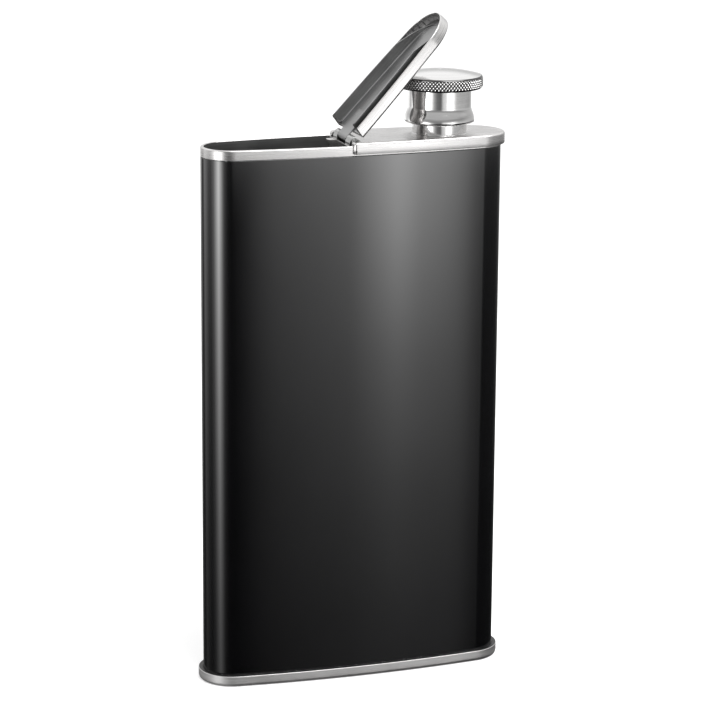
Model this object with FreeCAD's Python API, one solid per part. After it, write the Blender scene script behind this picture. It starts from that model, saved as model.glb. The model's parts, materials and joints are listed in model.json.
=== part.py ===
import FreeCAD, Part
import math
import os

os.makedirs("parts", exist_ok=True)

V = FreeCAD.Vector

# Frame: X along the width (cigar case at -X, flask at +X), front is -Y, Z up.
# Origin: centre of the underside of the base. All sizes in millimetres.

# body outline: an oval of two wide arcs and two end arcs
half_width = 46.0
half_depth = 10.9
end_radius = 8.9

# sheet thicknesses
sleeve_sheet = 0.45
shell_sheet = 0.55
divider_sheet = 0.6
leaf_sheet = 0.5

# base pan
base_overhang = 1.45
base_band_top = 3.3
base_floor_low = 0.6
base_floor_high = 1.2
base_lip_gap = 0.1

# body shell and sleeve
sleeve_top = 159.9
rim_top = 162.84
inner_offset = -(sleeve_sheet + shell_sheet)
floor_low = 2.2
floor_high = 2.8

# flask cover
cover_overhang = 1.15
cover_bottom = 160.55
cover_top = 163.9
cover_left = -3.35
cover_notch_left = -0.45
cover_notch_half = 9.3

# walls between the two halves
divider_left = -4.2
divider_right = divider_left + divider_sheet
divider_top = 162.5
divider_flange_top = 157.0
divider_flange_left = -7.5
tank_wall_left = -0.45
tank_wall_right = 0.15

# lid hinge
hinge_x = -2.0
hinge_z = 163.9
knuckle_radius = 1.25
knuckle_bore = 0.63
pin_radius = 0.6
pin_head_radius = 0.9
knuckle_front = -8.0
knuckle_back = 7.6
lid_knuckle_front = -3.7
lid_knuckle_back = 4.0
knuckle_gap = 0.25

# lid, drawn closed and then swung open; its hinge end slopes from lip to plate
lid_top = 164.05
lid_plate = 0.5
lid_lip_right = -4.8
lid_plate_right = -4.1
lid_skirt_inside = 0.65
liner_plate = 0.4
liner_plate_offset = 0.6
rail_offset = -1.35
rail_sheet = 0.45
rail_bottom = 159.75
rail_slope_start = -33.0
rail_slope_end = -45.5
lid_open_angle = 132.6

# neck, heights measured from the top of the cover
neck_x = 27.0
neck_radius = 8.1
neck_bore = 6.2
neck_plain_top = 3.9
neck_top = 12.4
thread_root = 7.15
thread_crest = 7.8
thread_pitch = 1.5
thread_turns = 5
spigot_depth = 2.2

# cap, heights measured from the top of the cover
bell_bottom = 3.3
bell_radius = 10.43
bell_high = 4.9
waist_radius = 9.4
waist_low = 7.8
cap_bore = 8.9
disc_radius = 12.8
disc_low = 13.5
disc_high = 17.25
dome_apex = 18.8
head_sheet = 0.8
seat_gap = 0.03
insert_bore = 7.88
insert_low = 4.5


def outline(offset, z):
    """Closed wire of the body oval, grown outwards by offset, at height z."""
    run = half_width - end_radius
    wide = (run ** 2 + half_depth ** 2 - end_radius ** 2) / (2 * (half_depth - end_radius))
    centre_y = wide - half_depth
    length = math.hypot(run, centre_y)
    tx = (wide + offset) * run / length
    ty = (wide + offset) * centre_y / length - centre_y
    back = Part.Arc(V(tx, ty, z), V(0, half_depth + offset, z), V(-tx, ty, z))
    left = Part.Arc(V(-tx, ty, z), V(-half_width - offset, 0, z), V(-tx, -ty, z))
    front = Part.Arc(V(-tx, -ty, z), V(0, -half_depth - offset, z), V(tx, -ty, z))
    right = Part.Arc(V(tx, -ty, z), V(half_width + offset, 0, z), V(tx, ty, z))
    return Part.Wire([arc.toShape() for arc in (back, left, front, right)])


def prism(offset, low, high):
    """Solid oval from low to high."""
    return Part.Face(outline(offset, low)).extrude(V(0, 0, high - low))


def tube(outside, inside, low, high):
    """Oval wall between two offsets of the body outline."""
    return prism(outside, low, high).cut(prism(inside, low, high))


def block(x_low, x_high, y_low, y_high, z_low, z_high):
    """Box from its two corners."""
    return Part.makeBox(x_high - x_low, y_high - y_low, z_high - z_low, V(x_low, y_low, z_low))


def left_of(x):
    """Half space to the case side of x, as a large box."""
    return block(-80, x, -40, 40, -10, 220)


def right_of(x):
    """Half space to the flask side of x, as a large box."""
    return block(x, 80, -40, 40, -10, 220)


def rod(radius, y_low, y_high, x=hinge_x, z=hinge_z):
    """Cylinder along Y, by default on the hinge axis."""
    return Part.makeCylinder(radius, y_high - y_low, V(x, y_low, z), V(0, 1, 0))


def turned(points):
    """Solid of revolution about the neck axis from (radius, height) points or arcs.

    A point is a tuple of two numbers. A tuple of two points is an arc: through the
    first, to the second. Heights are measured from the top of the cover.
    """
    def place(point):
        return V(neck_x + point[0], 0, cover_top + point[1])

    edges = []
    start = points[0]
    for item in points[1:] + [points[0]]:
        if isinstance(item[0], tuple):
            edges.append(Part.Arc(place(start), place(item[0]), place(item[1])).toShape())
            start = item[1]
        else:
            edges.append(Part.LineSegment(place(start), place(item)).toShape())
            start = item
    face = Part.Face(Part.Wire(edges))
    return face.revolve(V(neck_x, 0, 0), V(0, 0, 1), 360)


def edges_at(shape, z, only_curved=False):
    """Edges of a shape that lie wholly at height z."""
    found = []
    for edge in shape.Edges:
        box = edge.BoundBox
        flat = abs(box.ZMin - z) < 1e-4 and abs(box.ZMax - z) < 1e-4
        if flat and not (only_curved and edge.Curve.TypeId == "Part::GeomLine"):
            found.append(edge)
    return found


def outer_edges(shape, z, offset):
    """Edges at height z that follow the body outline grown by offset."""
    reach = outline(offset, z)
    found = []
    for edge in edges_at(shape, z, True):
        middle = edge.valueAt((edge.FirstParameter + edge.LastParameter) / 2)
        if reach.distToShape(Part.Vertex(middle))[0] < 0.02:
            found.append(edge)
    return found


def make_base_pan():
    pan = prism(base_overhang, 0, base_band_top)
    pan = pan.makeFillet(1.1, outer_edges(pan, 0, base_overhang))
    pan = pan.makeFillet(0.3, outer_edges(pan, base_band_top, base_overhang))
    pan = pan.cut(prism(base_lip_gap, base_floor_high, base_band_top + 1))
    recess = prism(-1.6, -1, base_floor_low)
    return pan.cut(recess)


def make_black_sleeve():
    return tube(0, -sleeve_sheet, base_floor_high, sleeve_top)


def make_body_shell():
    wall = prism(-sleeve_sheet, base_floor_high, sleeve_top)
    band = prism(0, sleeve_top, rim_top)
    band = band.makeFillet(0.35, outer_edges(band, rim_top, 0))
    shell = wall.fuse(band).removeSplitter()
    return shell.cut(prism(inner_offset, base_floor_high - 1, rim_top + 1))


def make_floor(side):
    """Pressed floor with a turned-down flange, for one half of the shell."""
    plate = prism(inner_offset, floor_low, floor_high)
    flange = tube(inner_offset, inner_offset - 0.6, base_floor_high, floor_low)
    return plate.fuse(flange).common(side).removeSplitter()


def make_divider_wall():
    inside = prism(inner_offset, base_floor_high, divider_top)
    wall = inside.common(block(divider_left, divider_right, -20, 20, 0, 200))
    flanges = tube(inner_offset, inner_offset - 0.6, floor_high, divider_flange_top)
    flanges = flanges.common(block(divider_flange_left, divider_right, -20, 20, 0, 200))
    tab = block(-6.4, divider_left + 0.1, 3.0, 6.6, divider_top - 0.75, divider_top)
    corners = [e for e in tab.Edges if e.BoundBox.XMax < -6.39 and e.BoundBox.ZLength > 0.5]
    tab = tab.makeFillet(1.1, corners)
    return wall.fuse([flanges, tab]).removeSplitter()


def make_tank_wall():
    inside = prism(inner_offset, base_floor_high, rim_top)
    return inside.common(block(tank_wall_left, tank_wall_right, -20, 20, 0, 200))


def make_flask_cover():
    plate = prism(cover_overhang, cover_bottom, cover_top).common(right_of(cover_left))
    corners = []
    for edge in plate.Edges:
        box = edge.BoundBox
        if box.XMax < cover_left + 0.01 and box.ZLength > 1 and box.YLength < 0.01:
            corners.append(edge)
    plate = plate.makeFillet(0.9, corners)
    rim = []
    for edge in edges_at(plate, cover_top):
        if edge.BoundBox.XMax > cover_left + 0.01:
            rim.append(edge)
    plate = plate.makeFillet(0.55, rim)
    hollow = prism(0.1, cover_bottom - 1, rim_top)
    hole = Part.makeCylinder(neck_radius + seat_gap, 10, V(neck_x, 0, cover_top - 5))
    notch = block(cover_left - 1, cover_notch_left, -cover_notch_half, cover_notch_half, 150, 170)
    return plate.cut(hollow).cut(hole).cut(notch)


def make_neck():
    low = -spigot_depth
    points = [(neck_bore, low), (neck_radius, low), (neck_radius, neck_plain_top - 0.4),
              (neck_radius - 0.4, neck_plain_top), (thread_root, neck_plain_top)]
    for turn in range(thread_turns):
        height = neck_plain_top + 0.7 + turn * thread_pitch
        points += [(thread_root, height), (thread_crest, height + 0.45),
                   (thread_crest, height + 0.65), (thread_root, height + 1.1)]
    points += [(thread_root, neck_top), (neck_bore, neck_top)]
    return turned(points)


def make_neck_flange():
    ring = Part.makeCylinder(11.0, 0.8, V(neck_x, 0, rim_top - 0.8))
    ring = ring.cut(Part.makeCylinder(neck_radius + seat_gap, 5, V(neck_x, 0, rim_top - 3)))
    return ring.common(prism(inner_offset - 0.3, 150, 170))


def make_cap_skirt():
    """Drawn tube of the cap: flared bell, straight waist and a top plate."""
    points = [(cap_bore, disc_low - 0.1), (cap_bore, 4.1), (cap_bore + 0.35, bell_bottom),
              ((bell_radius - 0.25, bell_bottom + 0.55), (bell_radius, bell_high)),
              ((9.72, 6.45), (waist_radius, waist_low)),
              (waist_radius, disc_low + head_sheet), (11.6, disc_low + head_sheet),
              (11.6, disc_low + head_sheet + 0.7), (0, disc_low + head_sheet + 0.7),
              (0, disc_low - 0.1)]
    return turned(points)


def dome_arc(edge, height, rise):
    """Arc of a sphere centred on the cap axis, from the edge radius up to the apex."""
    ball = (edge ** 2 + rise ** 2) / (2 * rise)
    half = edge / 2
    middle = height + rise - ball + math.sqrt(ball ** 2 - half ** 2)
    return ((half, middle), (0, height + rise))


def make_cap_head():
    """Knurled disc with a low domed top, hollow inside."""
    edge = disc_radius
    crown = edge - 0.75
    cavity = edge - 1.15
    rise = dome_apex - disc_high
    inside = disc_high - head_sheet
    inner_through, inner_apex = dome_arc(cavity, inside, rise)
    seat = waist_radius + seat_gap
    return turned([(seat, disc_low), (edge - 0.5, disc_low),
                   ((edge - 0.15, disc_low + 0.15), (edge, disc_low + 0.5)),
                   (edge, disc_high - 0.75),
                   ((edge - 0.22, disc_high - 0.22), (crown, disc_high)),
                   dome_arc(crown, disc_high, rise),
                   inner_apex,
                   (inner_through, (cavity, inside)),
                   (cavity, disc_low + head_sheet),
                   (seat, disc_low + head_sheet)])


def make_cap_insert():
    return turned([(insert_bore, insert_low), (cap_bore, insert_low),
                   (cap_bore, disc_low - 0.1), (insert_bore, disc_low - 0.1)])


def make_cap_seal():
    return turned([(5.4, neck_top), (insert_bore - 0.1, neck_top),
                   (insert_bore - 0.1, disc_low - 0.1), (5.4, disc_low - 0.1)])


def make_case_leaf():
    body = block(divider_right, divider_right + leaf_sheet, knuckle_front, knuckle_back,
                 150, hinge_z - knuckle_radius - 0.3)
    pieces = []
    spans = [(knuckle_front, lid_knuckle_front - knuckle_gap),
             (lid_knuckle_back + knuckle_gap, knuckle_back)]
    for low, high in spans:
        pieces.append(block(divider_right, divider_right + leaf_sheet, low, high,
                            hinge_z - 2.0, hinge_z))
        pieces.append(block(divider_right, hinge_x - knuckle_bore - 0.1, low, high,
                            hinge_z - 1.0, hinge_z))
        pieces.append(rod(knuckle_radius, low, high))
    leaf = body.fuse(pieces).removeSplitter()
    return leaf.cut(rod(knuckle_bore, -20, 20))


def make_hinge_pin():
    pin = rod(pin_radius, knuckle_front - 0.1, knuckle_back + 0.1)
    front = rod(pin_head_radius, knuckle_front - 0.55, knuckle_front - 0.02)
    back = rod(pin_head_radius, knuckle_back + 0.02, knuckle_back + 0.55)
    return pin.fuse([front, back]).removeSplitter()


def lid_side(shape):
    """Part of a closed lid piece on the case side of the sloping hinge end."""
    rise = lid_top - cover_bottom
    slope = (lid_plate_right - lid_lip_right) / rise
    low = cover_bottom - 5
    high = lid_top + 5
    corners = [V(-80, -40, low), V(lid_lip_right - 5 * slope, -40, low),
               V(lid_plate_right + 5 * slope, -40, high), V(-80, -40, high)]
    side = Part.Face(Part.makePolygon(corners + corners[:1])).extrude(V(0, 80, 0))
    return shape.common(side)


def make_lid_shell():
    skin = prism(cover_overhang, cover_bottom, lid_top)
    skin = skin.makeFillet(0.7, outer_edges(skin, lid_top, cover_overhang))
    skin = skin.cut(prism(lid_skirt_inside, cover_bottom - 1, lid_top - lid_plate))
    return lid_side(skin)


def make_lid_liner():
    """Plate inside the lid with a side rail that fades out towards the round end."""
    high = lid_top - lid_plate
    low = high - liner_plate
    plate = prism(liner_plate_offset, low, high)
    rail = tube(rail_offset, rail_offset - rail_sheet, rail_bottom, low + 0.1)
    corners = [V(rail_slope_start, -40, rail_bottom - 1), V(rail_slope_start, -40, rail_bottom),
               V(rail_slope_end, -40, low), V(-80, -40, low), V(-80, -40, rail_bottom - 1)]
    wedge = Part.Face(Part.makePolygon(corners + corners[:1])).extrude(V(0, 80, 0))
    return lid_side(plate.fuse(rail.cut(wedge)).removeSplitter())


def make_lid_leaf():
    high = lid_top - lid_plate - liner_plate
    low = high - leaf_sheet
    leaf = block(-11.0, hinge_x - 0.6, lid_knuckle_front, lid_knuckle_back, low, high)
    corners = [e for e in leaf.Edges if e.BoundBox.XMax < -10.9 and e.BoundBox.ZLength > 0.4]
    leaf = leaf.makeFillet(1.2, corners)
    leaf = leaf.fuse(rod(knuckle_radius, lid_knuckle_front, lid_knuckle_back)).removeSplitter()
    return leaf.cut(rod(knuckle_bore, -20, 20))


def opened(shape):
    """Swing a closed lid piece to its open rest position."""
    shape.rotate(V(hinge_x, 0, hinge_z), V(0, 1, 0), lid_open_angle)
    return shape


def build():
    return {
        "base_pan": make_base_pan(),
        "black_sleeve": make_black_sleeve(),
        "body_shell": make_body_shell(),
        "case_floor": make_floor(left_of(divider_left)),
        "tank_floor": make_floor(right_of(tank_wall_right)),
        "divider_wall": make_divider_wall(),
        "tank_wall": make_tank_wall(),
        "flask_cover": make_flask_cover(),
        "threaded_neck": make_neck(),
        "neck_flange": make_neck_flange(),
        "cap_skirt": make_cap_skirt(),
        "cap_head": make_cap_head(),
        "cap_insert": make_cap_insert(),
        "cap_seal": make_cap_seal(),
        "case_hinge_leaf": make_case_leaf(),
        "hinge_pin": make_hinge_pin(),
        "lid_shell": opened(make_lid_shell()),
        "lid_liner": opened(make_lid_liner()),
        "lid_hinge_leaf": opened(make_lid_leaf()),
    }


for name, shape in build().items():
    solids = shape.Solids
    if len(solids) == 1:
        shape = solids[0]
    box = shape.BoundBox
    print("%-16s solids %d valid %s volume %8.1f  x %.1f..%.1f y %.1f..%.1f z %.1f..%.1f" % (
        name, len(solids), shape.isValid(), shape.Volume,
        box.XMin, box.XMax, box.YMin, box.YMax, box.ZMin, box.ZMax))
    shape.exportStep("parts/%s.step" % name)
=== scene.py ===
import json
import math

import bmesh
import bpy
from mathutils import Matrix, Vector


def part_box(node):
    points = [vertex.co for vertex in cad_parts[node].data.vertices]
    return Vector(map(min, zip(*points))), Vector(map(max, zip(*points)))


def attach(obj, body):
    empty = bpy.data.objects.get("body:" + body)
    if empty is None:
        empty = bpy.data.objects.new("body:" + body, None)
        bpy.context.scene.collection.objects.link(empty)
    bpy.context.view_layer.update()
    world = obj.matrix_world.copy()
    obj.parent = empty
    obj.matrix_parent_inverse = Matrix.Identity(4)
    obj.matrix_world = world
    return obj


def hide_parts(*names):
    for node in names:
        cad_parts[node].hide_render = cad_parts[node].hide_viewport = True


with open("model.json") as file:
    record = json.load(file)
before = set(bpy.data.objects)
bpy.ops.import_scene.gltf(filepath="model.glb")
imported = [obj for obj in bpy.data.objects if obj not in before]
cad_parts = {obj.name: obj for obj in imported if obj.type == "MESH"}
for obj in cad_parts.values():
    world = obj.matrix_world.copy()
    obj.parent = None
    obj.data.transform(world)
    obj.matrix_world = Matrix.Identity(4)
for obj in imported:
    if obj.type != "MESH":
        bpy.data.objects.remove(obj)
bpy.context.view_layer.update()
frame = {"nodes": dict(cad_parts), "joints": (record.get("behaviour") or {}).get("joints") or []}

# All shapes are worked out in millimetres in the CAD frame and scaled once, when a mesh is made.
# Sizes chosen here have names in capitals, or are named on the first lines of a piece's function.
MM = 0.001
MERGE = 1e-7  # metres; points nearer than this become one
AXIS = 0.001  # radius of the ring that stands for a point on a turned piece's axis

joints = {joint["name"]: joint for joint in frame["joints"]}


def box_mm(node):
    """Lowest and highest corner of a CAD node."""
    low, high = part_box(node)
    return [c / MM for c in low], [c / MM for c in high]


def joint_mm(name):
    """A point on a joint's axis."""
    return [c / MM for c in joints[name]["pos_m"]]


sleeve_low, sleeve_high = box_mm("black_sleeve")
shell_low, shell_high = box_mm("body_shell")
base_high = box_mm("base_pan")[1]
cover_low, cover_high = box_mm("flask_cover")
neck_low, neck_high = box_mm("threaded_neck")
head_high = box_mm("cap_head")[1]
leaf_low, leaf_high = box_mm("case_hinge_leaf")
pin_low, pin_high = box_mm("hinge_pin")
hinge_x, _, hinge_z = joint_mm("lid_hinge")
neck_x = joint_mm("cap_turn")[0]
lid_open = math.radians(joints["lid_hinge"]["range_deg"][1])

# ---------------------------------------------------------------- the body's plan outline

# Four arcs: a flat one at the front and at the back, and a round one at each end.
END_RADIUS = 8.9
half_width = round(sleeve_high[0], 1)
half_depth = round(sleeve_high[1], 1)
end_x = half_width - END_RADIUS
side_radius = (end_x ** 2 + half_depth ** 2 - END_RADIUS ** 2) / (2 * (half_depth - END_RADIUS))
side_y = side_radius - half_depth
meet = math.degrees(math.atan2(end_x, side_y))

SIDE_STEPS = 40
END_STEPS = 56
CUT_STEPS = 20  # on each side of the lid, between its cut end and its round end


def spread(start, end, count):
    """Evenly spaced numbers from start up to, but not with, end."""
    return [start + (end - start) * i / count for i in range(count)]


def normal(angle):
    """Unit direction in the plan: 0 degrees is the back, 90 is the case's end."""
    a = math.radians(angle)
    return -math.sin(a), math.cos(a)


def on_oval(offset, angle):
    """Point of the outline, moved out by offset, where its normal has this angle."""
    nx, ny = normal(angle)
    at = angle % 360
    if at <= meet or at >= 360 - meet:
        x, y, radius = 0, -side_y, side_radius
    elif at < 180 - meet:
        x, y, radius = -end_x, 0, END_RADIUS
    elif at <= 180 + meet:
        x, y, radius = 0, side_y, side_radius
    else:
        x, y, radius = end_x, 0, END_RADIUS
    return x + (radius + offset) * nx, y + (radius + offset) * ny


all_round = (spread(-meet, meet, SIDE_STEPS) + spread(meet, 180 - meet, END_STEPS)
             + spread(180 - meet, 180 + meet, SIDE_STEPS) + spread(180 + meet, 360 - meet, END_STEPS))


def full_row(offset, z):
    """Points round the whole body."""
    return [(*on_oval(offset, a), z) for a in all_round]


def case_row(offset, z, cut):
    """Points round the case end, from the back to the front, ending on the line x = cut."""
    first = math.degrees(math.asin(-cut / (side_radius + offset)))
    angles = (spread(first, meet, CUT_STEPS) + spread(meet, 180 - meet, END_STEPS)
              + spread(180 - meet, 180 - first, CUT_STEPS) + [180 - first])
    return [(*on_oval(offset, a), z) for a in angles]


def arc(cx, cz, radius, start, end, count):
    """Profile points on a circle from one angle to another, both ends included."""
    angles = [math.radians(start + (end - start) * i / count) for i in range(count + 1)]
    return [(cx + radius * math.cos(a), cz + radius * math.sin(a)) for a in angles]


# ---------------------------------------------------------------- meshes and pieces

class Mesh:
    """Points and faces of one piece, in millimetres."""

    def __init__(self):
        self.points = []
        self.faces = []

    def add(self, row):
        first = len(self.points)
        self.points += [tuple(p) for p in row]
        return list(range(first, first + len(row)))

    def grid(self, rows, wrap_row=True, wrap_all=False):
        """Quads between neighbouring rows of points."""
        ids = [self.add(row) for row in rows]
        pairs = list(zip(ids, ids[1:]))
        if wrap_all:
            pairs.append((ids[-1], ids[0]))
        for low, high in pairs:
            count = len(low)
            for i in range(count if wrap_row else count - 1):
                j = (i + 1) % count
                self.faces.append((low[i], low[j], high[j], high[i]))
        return ids

    def face(self, ids):
        self.faces.append(tuple(ids))

    def plate(self, ids):
        """Quads across a row whose first half mirrors its second half."""
        last = len(ids) - 1
        for i in range(last // 2):
            quad = (ids[i], ids[i + 1], ids[last - i - 1], ids[last - i])
            self.faces.append(tuple(dict.fromkeys(quad)))

    def solid(self, rows):
        """Closed body from rows of points, with a flat face over its first and its last row."""
        ids = self.grid(rows)
        self.face(reversed(ids[0]))
        self.face(ids[-1])

    def extrude(self, polygon, low, high):
        """Prism along Y of a closed polygon of (x, z) points."""
        self.solid([[(x, y, z) for x, z in polygon] for y in (low, high)])

    def turned(self, profile, centre, count, along="z", shape=None):
        """Closed profile of (radius, height) points turned about an axis through centre."""
        rows = []
        for r, h in profile:
            row = []
            for i in range(count):
                a = 2 * math.pi * i / count
                radius = r if shape is None else shape(r, h, a)
                u, v = radius * math.cos(a), radius * math.sin(a)
                if along == "z":
                    row.append((centre[0] + u, centre[1] + v, centre[2] + h))
                else:
                    row.append((centre[0] + u, centre[1] + h, centre[2] + v))
            rows.append(row)
        self.grid(rows, wrap_all=True)

    def make(self, name):
        data = bpy.data.meshes.new(name)
        data.from_pydata([tuple(c * MM for c in p) for p in self.points], [], self.faces)
        bm = bmesh.new()
        bm.from_mesh(data)
        bmesh.ops.remove_doubles(bm, verts=bm.verts, dist=MERGE)
        bmesh.ops.dissolve_degenerate(bm, dist=MERGE, edges=bm.edges)
        bmesh.ops.recalc_face_normals(bm, faces=bm.faces)
        bm.to_mesh(data)
        bm.free()
        return data


def add_object(name, data):
    """A new object in the scene."""
    made = bpy.data.objects.new(name, data)
    bpy.context.scene.collection.objects.link(made)
    return made


def subtract(obj, tools):
    """Cuts closed meshes out of an object."""
    cutters = []
    for tool in tools:
        cutter = add_object(obj.name + "_tool", tool.make(obj.name + "_tool"))
        step = obj.modifiers.new("cut", "BOOLEAN")
        step.operation = "DIFFERENCE"
        step.solver = "EXACT"
        step.object = cutter
        cutters.append(cutter)
    bpy.context.view_layer.update()
    result = obj.evaluated_get(bpy.context.evaluated_depsgraph_get())
    cut_mesh = bpy.data.meshes.new_from_object(result)
    obj.modifiers.clear()
    obj.data = cut_mesh
    for cutter in cutters:
        bpy.data.objects.remove(cutter)


BEVEL_SEGMENTS = 2
NORMAL_WEIGHT = 60


def piece(mesh, name, body, node, material, bevel=0.0, angle=35, place=None, cut=()):
    """Makes the object, rounds its sharp edges and hands it to the frame."""
    obj = add_object(name, mesh.make(name))
    if cut:
        subtract(obj, cut)
    for polygon in obj.data.polygons:
        polygon.use_smooth = True
    if bevel:
        step = obj.modifiers.new("edges", "BEVEL")
        step.width = bevel * MM
        step.segments = BEVEL_SEGMENTS
        step.limit_method = "ANGLE"
        step.angle_limit = math.radians(angle)
        step.harden_normals = False
    step = obj.modifiers.new("normals", "WEIGHTED_NORMAL")
    step.keep_sharp = False
    step.weight = NORMAL_WEIGHT
    obj.data.materials.clear()
    obj.data.materials.append(material)
    if place is not None:
        obj.matrix_world = place
    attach(obj, body)
    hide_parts(node)
    return obj


def second_look(obj, material, chosen):
    """Gives another material to the faces that chosen(centre, normal) picks. The centre is in metres."""
    obj.data.materials.append(material)
    for polygon in obj.data.polygons:
        if chosen(polygon.center, polygon.normal):
            polygon.material_index = 1


def outward(centre, way):
    """Over 0 for a face that looks away from the body's upright axis, under 0 if it looks towards it."""
    return centre.x * way.x + centre.y * way.y


# ---------------------------------------------------------------- materials

class Nodes:
    """Short way to write the nodes of a tree."""

    def __init__(self, tree):
        self.tree = tree

    def node(self, kind, **values):
        made = self.tree.nodes.new(kind)
        for key, value in values.items():
            setattr(made, key, value)
        return made

    def link(self, out, into):
        self.tree.links.new(out, into)

    def feed(self, socket, value):
        """A number becomes the socket's own value, anything else is linked to it."""
        if isinstance(value, (int, float)):
            socket.default_value = value
        else:
            self.link(value, socket)

    def split(self, vector):
        """The X, Y and Z outputs of a vector."""
        made = self.node("ShaderNodeSeparateXYZ")
        self.link(vector, made.inputs[0])
        return made.outputs

    def math(self, operation, a, b=None):
        made = self.node("ShaderNodeMath", operation=operation)
        self.feed(made.inputs[0], a)
        if b is not None:
            self.feed(made.inputs[1], b)
        return made.outputs[0]

    def ranged(self, value, source, target):
        """Moves a value from one range to another, and keeps it inside the second."""
        made = self.node("ShaderNodeMapRange", clamp=True)
        self.link(value, made.inputs["Value"])
        for key, number in zip(("From Min", "From Max", "To Min", "To Max"), (*source, *target)):
            made.inputs[key].default_value = number
        return made.outputs["Result"]

    def ramp(self, value, *stops):
        """Colour from a value: stops are (place, colour)."""
        made = self.node("ShaderNodeValToRGB")
        elements = made.color_ramp.elements
        while len(elements) < len(stops):
            elements.new(0.5)
        for element, (place, colour) in zip(elements, stops):
            element.position = place
            element.color = (*colour, 1)
        self.link(value, made.inputs["Fac"])
        return made.outputs["Color"]


class Look(Nodes):
    """Short way to write a procedural material."""

    def __init__(self, name):
        self.material = bpy.data.materials.new(name)
        self.material.use_nodes = True
        super().__init__(self.material.node_tree)
        self.shader = self.tree.nodes["Principled BSDF"]
        self.coords = self.node("ShaderNodeTexCoord").outputs

    def scaled(self, x, y, z):
        """Object coordinates in millimetres, stretched."""
        mapping = self.node("ShaderNodeMapping")
        self.link(self.coords["Object"], mapping.inputs["Vector"])
        mapping.inputs["Scale"].default_value = (x / MM, y / MM, z / MM)
        return mapping.outputs["Vector"]

    def noise_on(self, vector, detail):
        """A noise node over a vector, at its own scale."""
        made = self.node("ShaderNodeTexNoise")
        self.link(vector, made.inputs["Vector"])
        made.inputs["Scale"].default_value = 1.0
        made.inputs["Detail"].default_value = detail
        return made

    def noise(self, stretch, detail, rough):
        """Noise with about this many waves to a millimetre along X, Y and Z."""
        made = self.noise_on(self.scaled(*stretch), detail)
        made.inputs["Roughness"].default_value = rough
        return made.outputs["Fac"]

    def blend(self, factor, a, b):
        """Mix of two numbers."""
        made = self.node("ShaderNodeMix", data_type="FLOAT")
        self.link(factor, made.inputs[0])
        self.feed(made.inputs[2], a)
        self.feed(made.inputs[3], b)
        return made.outputs[0]

    def bump(self, height, strength, distance, below=None):
        made = self.node("ShaderNodeBump")
        made.inputs["Strength"].default_value = strength
        made.inputs["Distance"].default_value = distance * MM
        self.link(height, made.inputs["Height"])
        if below is not None:
            self.link(below, made.inputs["Normal"])
        return made.outputs["Normal"]

    def set(self, key, value):
        """Sets a shader input: a constant on the socket itself, or a link."""
        if isinstance(value, tuple):
            self.shader.inputs[key].default_value = (*value, 1)
        else:
            self.feed(self.shader.inputs[key], value)


def brushed_steel(name, tone, rough, grain=1.0, rough_spread=0.10):
    """Sheet steel brushed level round the walls, and lengthwise where it lies flat in its own frame."""
    n = Look(name)
    flat = n.ranged(n.math("ABSOLUTE", n.split(n.coords["Normal"])["Z"]), (0.6, 0.8), (0.0, 1.0))
    on_wall = n.noise((0.035, 0.035, 9.0), detail=3.0, rough=0.6)
    on_plate = n.noise((0.05, 9.0, 9.0), detail=3.0, rough=0.6)
    line = n.blend(flat, on_wall, on_plate)
    cloud = n.noise((0.09, 0.12, 0.16), detail=3.0, rough=0.5)
    wave = n.noise((0.35, 0.35, 1.6), detail=2.0, rough=0.5)
    mixed = n.math("ADD", n.math("MULTIPLY", line, 0.6), n.math("MULTIPLY", cloud, 0.4))
    dark = tuple(c * 0.86 for c in tone)
    bright = tuple(min(1.0, c * 1.10) for c in tone)
    n.set("Base Color", n.ramp(mixed, (0.34, dark), (0.5, tone), (0.66, bright)))
    n.set("Metallic", 1.0)
    streak = n.ranged(line, (0.3, 0.7), (rough - rough_spread / 2, rough + rough_spread))
    n.set("Roughness", n.math("ADD", streak, n.ranged(cloud, (0.3, 0.7), (-0.03, 0.05))))
    n.set("Anisotropic", 0.35)
    waves = n.bump(wave, strength=0.05 * grain, distance=0.05)
    n.set("Normal", n.bump(line, strength=0.16 * grain, distance=0.02, below=waves))
    return n.material


# Painted shade: the knurl's grooves on the cap's head are coloured darker the deeper they lie, as shade that
# falls in them.
GROOVE_SHADE_FROM = 12.25  # only the rim of the cap's head lies farther from the neck's axis
GROOVE_SHADE_FULL = 12.46  # full up to this radius
GROOVE_SHADE_NONE = 12.72  # none from this radius
GROOVE_SHADE = (0.07, 0.07, 0.07)
RINGS = 7.0  # turning marks to a millimetre


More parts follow.
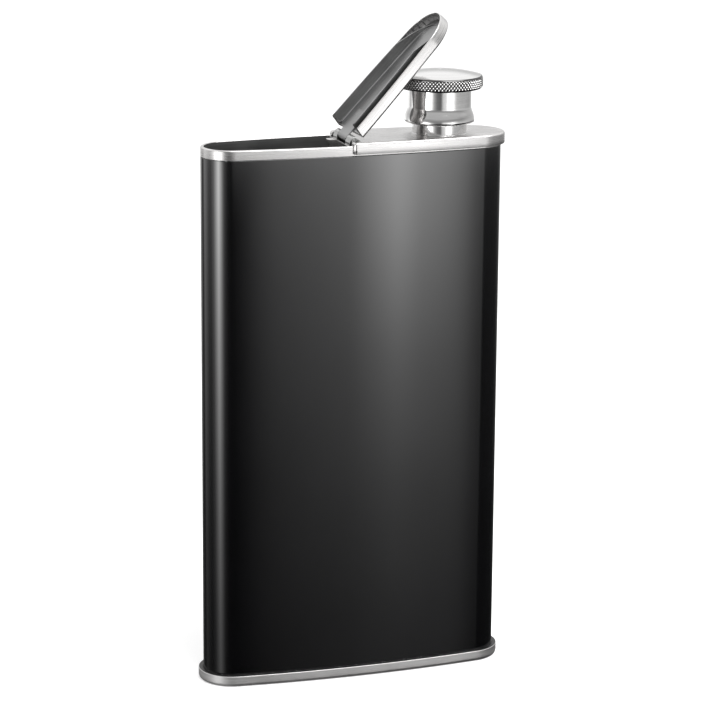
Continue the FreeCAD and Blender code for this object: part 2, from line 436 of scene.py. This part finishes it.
def turned_steel(name, tone, rough):
    """Polished steel with fine turning rings, a little haze, and painted shade in the grooves of the knurl.
    """
    n = Look(name)
    at = n.split(n.scaled(1, 1, 1))
    from_axis = n.math("SUBTRACT", at["X"], neck_x)
    squares = n.math("ADD", n.math("POWER", from_axis, 2.0), n.math("POWER", at["Y"], 2.0))
    radius = n.math("SQRT", squares)
    ringed = n.node("ShaderNodeCombineXYZ")
    n.link(n.math("MULTIPLY", radius, RINGS), ringed.inputs["X"])
    n.link(n.math("MULTIPLY", at["Z"], RINGS), ringed.inputs["Z"])
    rings = n.noise_on(ringed.outputs[0], detail=3.0).outputs["Fac"]
    haze = n.noise((0.22, 0.22, 0.22), detail=4.0, rough=0.6)
    marks = n.noise((1.4, 1.4, 0.5), detail=5.0, rough=0.7)
    rim = n.ranged(radius, (GROOVE_SHADE_FROM, GROOVE_SHADE_FROM + 0.05), (0.0, 1.0))
    # painted shade, darkest at the bottom of the knurl's grooves
    groove_shade = n.math("MULTIPLY", rim, n.ranged(radius, (GROOVE_SHADE_FULL, GROOVE_SHADE_NONE), (0.6, 0.0)))
    shade = n.math("SUBTRACT", rings, groove_shade)
    dull = tuple(c * 0.9 for c in tone)
    n.set("Base Color", n.ramp(shade, (0.05, GROOVE_SHADE), (0.35, dull), (0.6, tone)))
    n.set("Metallic", 1.0)
    hazy = n.ranged(haze, (0.35, 0.7), (rough, rough + 0.07))
    n.set("Roughness", n.math("ADD", hazy, n.ranged(marks, (0.55, 0.75), (0.0, 0.05))))
    n.set("Anisotropic", 0.25)
    n.set("Normal", n.bump(rings, strength=0.10, distance=0.008))
    return n.material


def black_paint(name):
    """Gloss black lacquer on a drawn sleeve, with a few specks and thin wear at its two edges."""
    n = Look(name)
    z = n.split(n.scaled(1, 1, 1))["Z"]
    peel = n.noise((0.35, 0.35, 0.22), detail=2.0, rough=0.5)
    fine = n.noise((2.2, 2.2, 1.4), detail=3.0, rough=0.6)
    cloud = n.noise((0.05, 0.05, 0.03), detail=3.0, rough=0.5)
    dust = n.noise((3.2, 3.2, 3.2), detail=2.0, rough=0.5)
    specks = n.ranged(dust, (0.74, 0.80), (0.0, 1.0))
    top = n.ranged(z, (sleeve_high[2] - 0.25, sleeve_high[2] - 0.05), (0.0, 1.0))
    foot = n.ranged(z, (base_high[2] + 0.35, base_high[2] + 0.1), (0.0, 1.0))
    worn = n.math("MULTIPLY", n.math("MAXIMUM", top, foot), n.ranged(fine, (0.56, 0.66), (0.0, 1.0)))
    tone = n.math("ADD", n.ranged(cloud, (0.3, 0.7), (0.0, 0.35)), n.math("MULTIPLY", worn, 0.9))
    n.set("Base Color", n.ramp(tone, (0.0, (0.001, 0.001, 0.0012)), (0.4, (0.002, 0.002, 0.0024)),
                               (1.0, (0.16, 0.16, 0.165))))
    n.set("Metallic", 0.0)
    cloudy = n.ranged(cloud, (0.3, 0.7), (0.065, 0.085))
    n.set("Roughness", n.math("ADD", cloudy, n.math("MULTIPLY", specks, 0.12)))
    n.set("IOR", 1.9)
    waves = n.bump(peel, strength=0.03, distance=0.02)
    n.set("Normal", n.bump(fine, strength=0.015, distance=0.008, below=waves))
    return n.material


def moulded(name, dark, bright, rough, bumpy):
    """Moulded plastic or rubber."""
    n = Look(name)
    skin = n.noise((1.6, 1.6, 1.6), detail=5.0, rough=0.6)
    cloud = n.noise((0.15, 0.15, 0.15), detail=2.0, rough=0.5)
    n.set("Base Color", n.ramp(cloud, (0.3, dark), (0.7, bright)))
    n.set("Roughness", n.ranged(skin, (0.3, 0.7), (rough - 0.06, rough + 0.1)))
    n.set("Normal", n.bump(skin, strength=bumpy, distance=0.02))
    return n.material


trim = brushed_steel("brushed_trim", tone=(0.70, 0.69, 0.685), rough=0.25)
base_trim = brushed_steel("brushed_base", tone=(0.86, 0.85, 0.845), rough=0.42)
# Dark steel for faces in narrow gaps, which stands in for shade that the render leaves too light.
gap_shade_steel = brushed_steel("gap_shade_steel", tone=(0.07, 0.07, 0.07), rough=0.4, grain=0.8)
satin = brushed_steel("satin_steel", tone=(0.36, 0.36, 0.36), rough=0.34, grain=0.8)
hinge_steel = brushed_steel("hinge_steel", tone=(0.50, 0.50, 0.495), rough=0.24, grain=0.6, rough_spread=0.06)
polished = turned_steel("polished_steel", tone=(0.78, 0.775, 0.77), rough=0.08)
paint = black_paint("black_paint")
insert_plastic = moulded("insert_plastic", dark=(0.70, 0.70, 0.68), bright=(0.78, 0.78, 0.76),
                         rough=0.42, bumpy=0.15)
seal_rubber = moulded("seal_rubber", dark=(0.015, 0.015, 0.016), bright=(0.03, 0.03, 0.03),
                      rough=0.62, bumpy=0.3)
looks = {"brushed_trim": trim, "satin_steel": satin, "hinge_steel": hinge_steel, "polished_steel": polished,
         "black_paint": paint, "insert_plastic": insert_plastic, "seal_rubber": seal_rubber}

# The CAD nodes take the looks of their slots, apart from the divider, whose bright tab shows in the mouth.
for node, obj in frame["nodes"].items():
    for place, slot in enumerate(obj.material_slots):
        wanted = slot.material.name.split(".")[0]
        obj.data.materials[place] = trim if node == "divider_wall" else looks[wanted]

# ---------------------------------------------------------------- body

ROW_HEIGHTS = (40, 80, 120)  # rows of points between the foot and the top of the tall walls
band_z = sleeve_high[2]  # the sleeve ends here and the bare rim band starts


def sleeve():
    thick, lip, foot = 0.45, 0.14, 0.1
    low = sleeve_low[2]
    rows = [(-thick, low), (-0.02, low), (0.0, low + foot)] + [(0.0, z) for z in ROW_HEIGHTS]
    rows += [(0.0, band_z - lip)] + arc(-lip, band_z - lip, lip, 0, 90, 4)[1:] + [(-thick, band_z)]
    m = Mesh()
    m.grid([full_row(o, z) for o, z in rows], wrap_all=True)
    piece(m, "sleeve_skin", "flask", "black_sleeve", paint)


def shell_and_rim():
    """Satin shell inside the sleeve, with the bright rim band that stands above it."""
    inside, outside, gap = -1.0, -0.47, 0.02
    cove, brow, lip = 0.12, 0.38, 0.2
    top = shell_high[2]
    rows = [(inside, shell_low[2]), (outside, shell_low[2]), (outside, band_z - 0.3), (outside, band_z + gap)]
    rows += arc(-cove, band_z + gap + cove, cove, -90, 0, 3)
    rows += arc(-brow, top - brow, brow, 0, 90, 6)
    rows += arc(inside + lip, top - lip, lip, 90, 180, 4)
    rows += [(inside, z) for z in reversed(ROW_HEIGHTS)]
    m = Mesh()
    m.grid([full_row(o, z) for o, z in rows], wrap_all=True)
    shell = piece(m, "shell_and_rim", "flask", "body_shell", satin)
    second_look(shell, trim, lambda at, way: at.z > band_z * MM and (outward(at, way) > 0 or way.z > 0.3))


def base_pan():
    """Pan under the body, with a foot ring, a round heel and a ledge. Its upward faces are painted dark, as
    painted shade.
    """
    proud = base_high[0] - half_width
    top = base_high[2]
    foot, heel, brow, ledge = 0.25, 1.1, 0.15, 0.12
    rows = [(-1.6, 0.6)] + arc(-1.6 + foot, foot, foot, 180, 270, 3)
    rows += arc(proud - heel, heel, heel, -90, 0, 10)
    rows += arc(proud - brow, top - brow, brow, 0, 90, 4)
    rows += arc(0.1 + ledge, top - ledge, ledge, 90, 180, 3) + [(0.1, 1.2)]
    m = Mesh()
    m.solid([full_row(o, z) for o, z in rows])
    pan = piece(m, "base_pan_skin", "flask", "base_pan", base_trim, bevel=0.05)
    # painted shade on the upward faces, the ledge under the sleeve among them
    second_look(pan, gap_shade_steel, lambda at, way: way.z > 0.9)


sleeve()
shell_and_rim()
base_pan()

# ---------------------------------------------------------------- flask cover

CORNER = 0.9  # radius of the cover's two corners at the hinge
NOTCH_X, NOTCH_Y = -0.45, 9.3  # the notch that the hinge lies in
CORNER_STEPS = 8
PROUD_STEPS = 24
NECK_HOLE = 8.12
HOLE_STEPS = 96


def cover_plan():
    """The cover's outline: the body's, moved out, then two corners, a straight end and a notch."""
    reach = cover_high[0] - half_width
    left = cover_low[0]
    corner_x = left + CORNER
    inner = side_radius + reach - CORNER
    tilt = math.degrees(math.asin(-corner_x / inner))
    corner_y = math.sqrt(inner ** 2 - corner_x ** 2) - side_y

    def corner(angles, y):
        return [(corner_x + CORNER * nx, y + CORNER * ny) for nx, ny in map(normal, angles)]

    oval = (spread(180 - tilt, 180 + meet, PROUD_STEPS) + spread(180 + meet, 360 - meet, END_STEPS)
            + spread(360 - meet, 360 + tilt, PROUD_STEPS))
    plan = [(NOTCH_X, -NOTCH_Y), (left, -NOTCH_Y)] + [(left, -y) for y in spread(NOTCH_Y, corner_y, 3)[1:]]
    plan += corner(spread(90, 180 - tilt, CORNER_STEPS), -corner_y)
    plan += [on_oval(reach, a) for a in oval]
    plan += corner(spread(360 + tilt, 450, CORNER_STEPS) + [450], corner_y)
    plan += [(left, y) for y in spread(corner_y, NOTCH_Y, 3)[1:]]
    return plan + [(left, NOTCH_Y), (NOTCH_X, NOTCH_Y)]


def inward(points, fixed):
    """How each point of a closed plan moves when the plan shrinks by 1, with some given."""
    result = []
    for i, (x, y) in enumerate(points):
        if i in fixed:
            result.append(fixed[i])
            continue
        (x0, y0), (x1, y1) = points[i - 1], points[(i + 1) % len(points)]
        ax, ay = x - x0, y - y0
        bx, by = x1 - x, y1 - y
        la, lb = math.hypot(ax, ay), math.hypot(bx, by)
        nx, ny = -(ay / la + by / lb), ax / la + bx / lb
        size = math.hypot(nx, ny)
        nx, ny = nx / size, ny / size
        slant = nx * -ay / la + ny * ax / la
        result.append((nx / slant, ny / slant))
    return result


def cover():
    """Plate with a skirt, hollowed by the body it sits on and bored for the neck."""
    fillet, foot, skirt = 0.55, 0.08, 1.2
    low, top = cover_low[2], cover_high[2]
    plan = cover_plan()
    last = len(plan) - 1
    moves = inward(plan, {0: (0, 0), last: (0, 0), 1: (1, 0), last - 1: (1, 0)})
    rows = [(foot, low), (0.0, low + foot), (0.0, low + skirt)]
    rows += [(fillet - o, z) for o, z in arc(0, top - fillet, fillet, 0, 90, 8)]
    m = Mesh()
    m.solid([[(x + dx * d, y + dy * d, z) for (x, y), (dx, dy) in zip(plan, moves)] for d, z in rows])
    hollow = Mesh()
    hollow.solid([full_row(0.1, low - 2), full_row(0.1, shell_high[2])])
    angles = [2 * math.pi * i / HOLE_STEPS for i in range(HOLE_STEPS)]
    ring = [(neck_x + NECK_HOLE * math.cos(a), NECK_HOLE * math.sin(a)) for a in angles]
    bore = Mesh()
    bore.solid([[(x, y, z) for x, y in ring] for z in (shell_high[2] - 1, top + 1)])
    piece(m, "cover_skin", "flask", "flask_cover", trim, bevel=0.05, angle=50,
          cut=(hollow, bore))


cover()

# ---------------------------------------------------------------- neck and cap

cover_top = cover_high[2]
neck_foot = (neck_x, 0, cover_top)  # heights of the neck and the cap are measured from here

THREAD_LOW, THREAD_HIGH = 3.95, 12.35
THREAD_PITCH = 1.5
THREAD_ROOT = 7.15
THREAD_DEPTH = 0.65
THREAD_FADE = 0.8
THREAD_ROWS = 56


def thread(r, h, a):
    """Helical ridge on the neck between its two plain ends."""
    if r > THREAD_ROOT + 0.05 or not THREAD_LOW < h < THREAD_HIGH:
        return r
    start, end = THREAD_LOW + 0.15, THREAD_HIGH - 0.15
    phase = ((h - start) / THREAD_PITCH - a / (2 * math.pi)) % 1.0
    ridge = max(0.0, 1 - abs(phase - 0.5) * 2.6)
    fade = min(1.0, max(0.0, (h - start) / THREAD_FADE), max(0.0, (end - h) / THREAD_FADE))
    return r + THREAD_DEPTH * min(1.0, ridge * 1.35) * fade


def neck():
    bore, outside, shoulder = 6.2, 8.1, 0.4
    low, high = neck_low[2] - cover_top, neck_high[2] - cover_top
    profile = [(bore, low), (outside, low), (outside, 0.01)]
    for a in map(math.radians, (0, 22, 45, 67, 90)):
        profile.append((outside + 0.18 * (1 - math.sin(a)), 0.01 + 0.2 * (1 - math.cos(a))))
    profile += [(outside, 3.5)] + arc(outside - shoulder, 3.5, shoulder, 0, 90, 4)[1:] + [(THREAD_ROOT, 3.92)]
    thread_length = THREAD_HIGH - THREAD_LOW
    profile += [(THREAD_ROOT, THREAD_LOW + thread_length * i / THREAD_ROWS) for i in range(THREAD_ROWS + 1)]
    profile += [(7.0, high), (bore + 0.15, high), (bore, 12.25)]
    m = Mesh()
    m.turned(profile, neck_foot, count=120, shape=thread)
    piece(m, "neck_turned", "flask", "threaded_neck", polished, bevel=0.03, angle=60)


def cap_skirt():
    """Drawn tube: a rolled foot, a flared bell, a straight waist and a closed top."""
    foot, plate, top = 3.3, 13.4, 13.9
    waist, inside = 9.4, 8.9
    bell = [(10.1, foot), (10.27, 3.42), (10.38, 3.6), (10.43, 3.85), (10.43, 4.1), (10.39, 4.5), (10.3, 5.0),
            (10.17, 5.5), (10.0, 6.0), (9.78, 6.55), (9.58, 7.1), (9.45, 7.6), (waist, 8.1)]
    profile = [(inside, plate), (inside, 4.2), (9.25, 3.4), (9.4, foot)] + bell
    profile += [(waist, 13.5), (waist, top), (AXIS, top), (AXIS, plate)]
    m = Mesh()
    m.turned(profile, neck_foot, count=160)
    piece(m, "cap_skirt_drawn", "cap", "cap_skirt", polished)


KNURLS = 76
KNURL_LOW, KNURL_HIGH = 14.05, 16.55
KNURL_DEPTH = 0.42
KNURL_ROWS = 16
CROWN_ROWS = 14
knurl_edge = head_high[0] - neck_x - 0.002


def knurl(r, h, a):
    """Diamond knurl cut into the rim of the cap's head."""
    if r < knurl_edge - 0.01 or not KNURL_LOW - 1e-6 <= h <= KNURL_HIGH + 1e-6:
        return r
    u = a * KNURLS / (2 * math.pi)
    v = 2 * (h - KNURL_LOW) / (KNURL_HIGH - KNURL_LOW)
    p = abs((u + v) % 1.0 - 0.5) * 2
    q = abs((u - v) % 1.0 - 0.5) * 2
    height = min(1.0, min(1 - p, 1 - q) * 1.7)
    return r - KNURL_DEPTH * (1 - height)


def cap_head():
    """Disc with a knurled rim and a low domed top."""
    low, floor_z, head_top, neck_in = 13.5, 15.0, 17.25, 0.36
    inside = 9.35
    rise = head_high[2] - cover_top - head_top
    crown = knurl_edge - 0.75
    ball = (crown ** 2 + rise ** 2) / (2 * rise)
    crown_angle = math.asin(crown / ball)
    steps = [(0.62, low), (0.45, low + 0.05), (neck_in, low + 0.2), (neck_in, low + 0.52)]
    steps += [(0.0, KNURL_LOW + (KNURL_HIGH - KNURL_LOW) * i / KNURL_ROWS) for i in range(KNURL_ROWS + 1)]
    steps += [(neck_in, 16.58), (0.3, 16.65), (0.22, 16.74), (0.23, 16.9), (0.32, 17.06), (0.5, 17.2)]
    profile = [(inside, low)] + [(knurl_edge - step, h) for step, h in steps] + [(crown, head_top + 0.02)]
    for i in range(1, CROWN_ROWS):
        a = crown_angle * (1 - i / CROWN_ROWS)
        profile.append((ball * math.sin(a), head_top + rise - ball + ball * math.cos(a)))
    profile += [(AXIS, head_top + rise), (AXIS, floor_z), (inside, floor_z)]
    m = Mesh()
    m.turned(profile, neck_foot, count=KNURLS * 8, shape=knurl)
    piece(m, "cap_head_knurled", "cap", "cap_head", polished)


neck()
cap_skirt()
cap_head()

# ---------------------------------------------------------------- lid, built closed and swung open

LID_TOP = 164.05
LID_SHEET = 0.5
LINER_SHEET = 0.4
CUT_FOOT, CUT_SLANT = -4.8, 0.7  # the lid's cut end at its foot, and how far it leans by the top
RAIL_FOOT = 159.75
RAIL_ROUND = 0.1
FADE_START, FADE_LENGTH = -33.0, 12.5  # where the rails start to fade out, and over what length

swing = (Matrix.Translation((hinge_x * MM, 0, hinge_z * MM)) @ Matrix.Rotation(lid_open, 4, "Y")
         @ Matrix.Translation((-hinge_x * MM, 0, -hinge_z * MM)))
lid_low = cover_low[2]
plate_z = LID_TOP - LID_SHEET
liner_z = plate_z - LINER_SHEET


def lid_cut(z):
    """Where the slanting hinge end of the lid lies at a height."""
    return CUT_FOOT + CUT_SLANT * (z - lid_low) / (LID_TOP - lid_low)


def lid_rows(profile):
    return [case_row(offset, z, lid_cut(z)) for offset, z in profile]


def closed_sheet(profile):
    """Body with a plate at the profile's two ends and a flat face at the cut."""
    m = Mesh()
    ids = m.grid(lid_rows(profile), wrap_row=False)
    m.plate(ids[-1])
    m.plate(ids[0])
    m.face([row[0] for row in ids] + [row[-1] for row in reversed(ids)])
    return m


def lid_skin():
    """Plate with a skirt. The faces in the gap beside the front rail are painted dark, as painted shade."""
    inside, outside, brow = 0.65, 1.15, 0.7
    lip_in, lip_out = 0.12, 0.2
    foot_out = outside - 0.07
    profile = [(inside, plate_z), (inside, lid_low + 0.1)]
    profile += arc(inside + lip_in, lid_low + lip_in, lip_in, 180, 270, 3)
    profile += arc(foot_out - lip_out, lid_low + lip_out, lip_out, -90, 0, 4)
    profile += [(outside - 0.02, lid_low + 1.3)] + arc(outside - brow, LID_TOP - brow, brow, 0, 90, 8)
    lid = piece(closed_sheet(profile), "lid_skin", "lid", "lid_shell", trim,
                bevel=0.05, angle=50, place=swing)

    def in_gap(at, way):
        inner = outward(at, way) < 0 or way.z < -0.9 and at.z > (lid_low + 1) * MM
        return inner and at.y < 0.002 and abs(way.x) < 0.97

    # painted shade on the skin's faces in the gap beside the front rail
    second_look(lid, gap_shade_steel, in_gap)


def liner_plate():
    profile = [(0.6, plate_z - 0.02), (0.6, liner_z)]
    piece(closed_sheet(profile), "lid_liner_plate", "lid", "lid_liner", satin,
          bevel=0.03, angle=60, place=swing)


def rail_foot(x):
    """Lowest height of the liner's side rail, which fades out towards the round end."""
    return RAIL_FOOT + (liner_z - RAIL_FOOT) * min(1.0, max(0.0, (FADE_START - x) / FADE_LENGTH))


def liner_rails():
    """Rails that stand on the liner, as one strip round the case end whose height fades out."""
    outside, inside, root, sunk = -1.35, -1.8, 0.4, 0.05
    foot = RAIL_FOOT + RAIL_ROUND
    profile = [(outside, liner_z + sunk), (outside, foot)]
    profile += arc(outside - RAIL_ROUND, foot, RAIL_ROUND, 0, -90, 3)
    profile += arc(inside + RAIL_ROUND, foot, RAIL_ROUND, -90, -180, 3)
    profile += [(inside, 161.6)] + arc(inside - root, liner_z - root, root, 0, 90, 6)
    profile += [(inside - root, liner_z + sunk)]
    rails = []
    for row in lid_rows(profile):
        share = (liner_z - row[0][2]) / (liner_z - RAIL_FOOT)
        rails.append([(x, y, liner_z - share * (liner_z - rail_foot(x))) for x, y, z in row])
    m = Mesh()
    ids = m.grid(rails, wrap_row=False, wrap_all=True)
    for end in (0, -1):
        m.face([row[end] for row in ids])
    piece(m, "lid_liner_rails", "lid", "lid_liner", satin, place=swing)


lid_skin()
liner_plate()
liner_rails()

# ---------------------------------------------------------------- hinge

LEAF_SHEET = 0.5
BARREL = 1.25
PIN_HOLE = 0.64
CURL_STEPS = 26
LID_KNUCKLE = (-3.7, 4.0)  # its two ends along Y
CASE_GAP = (-3.95, 4.25)  # between the case leaf's two knuckles
WELDS_X = (-6.2, -9.2)
WELDS_Y = (-1.9, 2.2)


def curl(start, end, back):
    """Profile round the pin: out along the barrel from start to end, and back along the hole."""
    return (arc(hinge_x, hinge_z, BARREL, start, end, CURL_STEPS)
            + arc(hinge_x, hinge_z, PIN_HOLE, end, back, CURL_STEPS))


def case_leaf():
    """Upright sheet with two rolled knuckles at its top."""
    left, right = leaf_low[0], leaf_low[0] + LEAF_SHEET
    knuckle_foot = leaf_high[2] - 3.6
    sheet_top = hinge_z - 1.55
    rolled = [(left, knuckle_foot), (left, hinge_z - 1.0), (left + 0.1, hinge_z - 0.4)] + curl(172, -140, 200)
    rolled += [(right, hinge_z - 0.9), (right, knuckle_foot)]
    m = Mesh()
    for low, high in ((leaf_low[1], CASE_GAP[0]), (CASE_GAP[1], leaf_high[1])):
        m.extrude(rolled, low, high)
    sheet = [(left, leaf_low[2]), (right, leaf_low[2]), (right, sheet_top), (left, sheet_top)]
    m.extrude(sheet, leaf_low[1], leaf_high[1])
    piece(m, "case_leaf_rolled", "flask", "case_hinge_leaf", hinge_steel, bevel=0.07, angle=40)


def lid_leaf():
    """Leaf inside the lid: one rolled knuckle and four weld spots. It looks satin, like the liner."""
    end, bend = -11.0, hinge_x - 0.9
    inner, outer = liner_z - LEAF_SHEET, liner_z - 0.02
    m = Mesh()
    rolled = [(end, inner), (bend, inner)] + curl(-105, 200, -100) + [(bend, outer), (end, outer)]
    m.extrude(rolled, *LID_KNUCKLE)
    spot = [(0.62, 0.03), (0.5, -0.03), (0.3, -0.07), (AXIS, -0.08), (AXIS, 0.03)]
    for y in WELDS_Y:
        for x in WELDS_X:
            m.turned(spot, (x, y, inner), count=24)
    piece(m, "lid_leaf_rolled", "lid", "lid_hinge_leaf", satin,
          bevel=0.06, angle=40, place=swing)


def pin():
    """Pin with a peened button at each end."""
    half = (pin_high[1] - pin_low[1]) / 2
    middle = (pin_high[1] + pin_low[1]) / 2
    button = [(AXIS, 0.0), (0.45, 0.04), (0.75, 0.14), (0.88, 0.3), (0.9, 0.5), (0.6, 0.5)]
    profile = [(r, half - step) for r, step in button] + [(r, step - half) for r, step in reversed(button)]
    m = Mesh()
    m.turned(profile, (hinge_x, middle, hinge_z), count=40, along="y")
    piece(m, "pin_peened", "flask", "hinge_pin", hinge_steel)


case_leaf()
lid_leaf()
pin()

# ---------------------------------------------------------------- camera

CAMERA_YAW = math.radians(-18.376)  # to the left of the front
CAMERA_PITCH = math.radians(14.282)  # above the level
CAMERA_ROLL = math.radians(0.429)
CAMERA_DISTANCE = 0.861
AIM_HEIGHT = 0.096101
AIM_SHIFT = 0.002666  # to the camera's right of the body's upright axis
LENS = 143.81
SENSOR = 36
CLIP_START = 0.05

level = math.cos(CAMERA_PITCH)
back = Vector((math.sin(CAMERA_YAW) * level, -math.cos(CAMERA_YAW) * level, math.sin(CAMERA_PITCH)))
right = Vector((math.cos(CAMERA_YAW), math.sin(CAMERA_YAW), 0))
up = back.cross(right)
rolled_right = right * math.cos(CAMERA_ROLL) + up * math.sin(CAMERA_ROLL)
rolled_up = up * math.cos(CAMERA_ROLL) - right * math.sin(CAMERA_ROLL)
eye = Vector((0, 0, AIM_HEIGHT)) + right * AIM_SHIFT + back * CAMERA_DISTANCE
camera = add_object("camera", bpy.data.cameras.new("camera"))
camera.data.lens = LENS
camera.data.sensor_width = SENSOR
camera.data.clip_start = CLIP_START
facing = Matrix((rolled_right, rolled_up, back)).transposed().to_4x4()
camera.matrix_world = Matrix.Translation(eye) @ facing
bpy.context.scene.camera = camera

# ---------------------------------------------------------------- floor

FLOOR_REACH = 8.0
FLOOR_GLOW = 0.32  # the floor's own light, which no reflection shows

corners = [(x * FLOOR_REACH, y * FLOOR_REACH, 0) for x, y in ((-1, -1), (1, -1), (1, 1), (-1, 1))]
floor = add_object("floor", bpy.data.meshes.new("floor"))
floor.data.from_pydata(corners, [], [(0, 1, 2, 3)])
pale = Look("pale_floor")
pale.set("Base Color", (0.92, 0.92, 0.92))
pale.set("Roughness", 0.9)
pale.set("Specular IOR Level", 0.1)
pale.set("Emission Color", (1, 1, 1))
pale.set("Emission Strength", FLOOR_GLOW)
floor.data.materials.append(pale.material)
floor.visible_glossy = False

# ---------------------------------------------------------------- room and lamp

# Each stop is (degrees, brightness). A bearing is 0 in front of the object and 90 at its neck end, and a
# height is above the level. This isn't a plain soft studio light: the stops follow the output of a separate
# program, which worked back from how bright the reflections on a real sleeve are, and were adjusted by hand.
WALL_BEARINGS = (
    (-180, 1.2), (-168, 2.2), (-155, 0.2), (-145, 0.5), (-135, 2.3), (-122, 1.8), (-110, 0.9), (-98, 0.85),
    (-85, 2.5), (-76, 6.7), (-64, 14.0), (-52, 6.0), (-46, 2.4), (-40, 0.9), (-29, 0.2), (-18, 0.07),
    (4, 0.07), (5.2, 0.55), (8, 1.4), (13, 2.0), (18, 2.6), (23, 3.1), (30.5, 2.8), (32.2, 1.3),
    (36, 0.3), (42, 0.18), (110, 0.15), (135, 0.6), (160, 2.6), (180, 1.2))
WALL_HEIGHTS = (
    (-60, 0.16), (-40, 0.16), (-26, 0.06), (-19.8, 0.1), (-16.7, 0.24), (-14.1, 0.46), (-12.3, 0.69),
    (-10.6, 1.0), (-6, 0.8), (0, 0.3), (8, 0.0))
WINDOW_BEARINGS = ((17, 0.0), (20.4, 2.7), (22.8, 4.5), (25.3, 2.2), (28, 1.4), (31.5, 0.0))
WINDOW_HEIGHTS = (
    (-20, 0.0), (-16.7, 0.04), (-14.1, 0.19), (-12.3, 0.57), (-10.6, 1.0), (-6, 0.8), (0, 0.3), (8, 0.0))
FILL_BEARINGS = (
    (-180, 0.5), (-100, 0.5), (-30, 0.1), (-14, 0.1), (-6, 0.9), (10, 1.2), (34, 1.2), (46, 0.6),
    (120, 0.3), (180, 0.5))
FILL_HEIGHTS = ((-10.3, 0.0), (-9.2, 1.0), (-2, 1.0), (6, 0.4), (12, 0.0))
SKY_BEARINGS = ((-180, 1.0), (-120, 0.9), (-60, 0.45), (60, 0.45), (120, 0.9), (180, 1.0))
SKY_HEIGHTS = (
    (-90, 0.05), (-30, 0.015), (-10, 0.015), (-8, 0.1), (0, 0.3), (8, 0.55), (14, 0.78), (22, 1.2), (90, 1.2))
WALL_AND_WINDOW = 0.42  # how much of the walls' and the window's brightness is used

world = bpy.data.worlds.new("studio")
bpy.context.scene.world = world
world.use_nodes = True
n = Nodes(world.node_tree)
way = n.split(n.node("ShaderNodeTexCoord").outputs["Generated"])
to_front = n.math("MULTIPLY", way["Y"], -1.0)
bearing = n.ranged(n.math("ARCTAN2", way["X"], to_front), (-math.pi, math.pi), (0.0, 1.0))
height = n.ranged(way["Z"], (-1.0, 1.0), (0.0, 1.0))


def around_room(stops):
    """Brightness by compass bearing."""
    peak = max(tone for at, tone in stops)
    share = n.ramp(bearing, *(((at + 180) / 360, (tone / peak,) * 3) for at, tone in stops))
    return n.math("MULTIPLY", share, peak)


def up_room(stops):
    """Brightness by height above the level."""
    return n.ramp(height, *(((math.sin(math.radians(at)) + 1) / 2, (tone,) * 3) for at, tone in stops))


walls = n.math("MULTIPLY", around_room(WALL_BEARINGS), up_room(WALL_HEIGHTS))
window = n.math("MULTIPLY", around_room(WINDOW_BEARINGS), up_room(WINDOW_HEIGHTS))
glow = n.math("MULTIPLY", n.math("ADD", walls, window), WALL_AND_WINDOW)
fill = n.math("MULTIPLY", around_room(FILL_BEARINGS), up_room(FILL_HEIGHTS))
sky = n.math("MULTIPLY", up_room(SKY_HEIGHTS), around_room(SKY_BEARINGS))
n.link(n.math("ADD", n.math("ADD", glow, fill), sky), n.tree.nodes["Background"].inputs["Color"])

LAMP_WIDTH, LAMP_DEPTH = 1.0, 0.7
LAMP_WATTS = 14
LAMP_AT = Vector((0.35, -0.6, 1.1))
LAMP_AIM = Vector((0, 0, 0.12))

key = bpy.data.lights.new("key", "AREA")
key.shape = "RECTANGLE"
key.size = LAMP_WIDTH
key.size_y = LAMP_DEPTH
key.energy = LAMP_WATTS
lamp = add_object("key", key)
lamp.location = LAMP_AT
lamp.rotation_mode = "QUATERNION"
lamp.rotation_quaternion = (LAMP_AT - LAMP_AIM).to_track_quat("Z", "Y")

bpy.context.scene.view_settings.view_transform = "Standard"
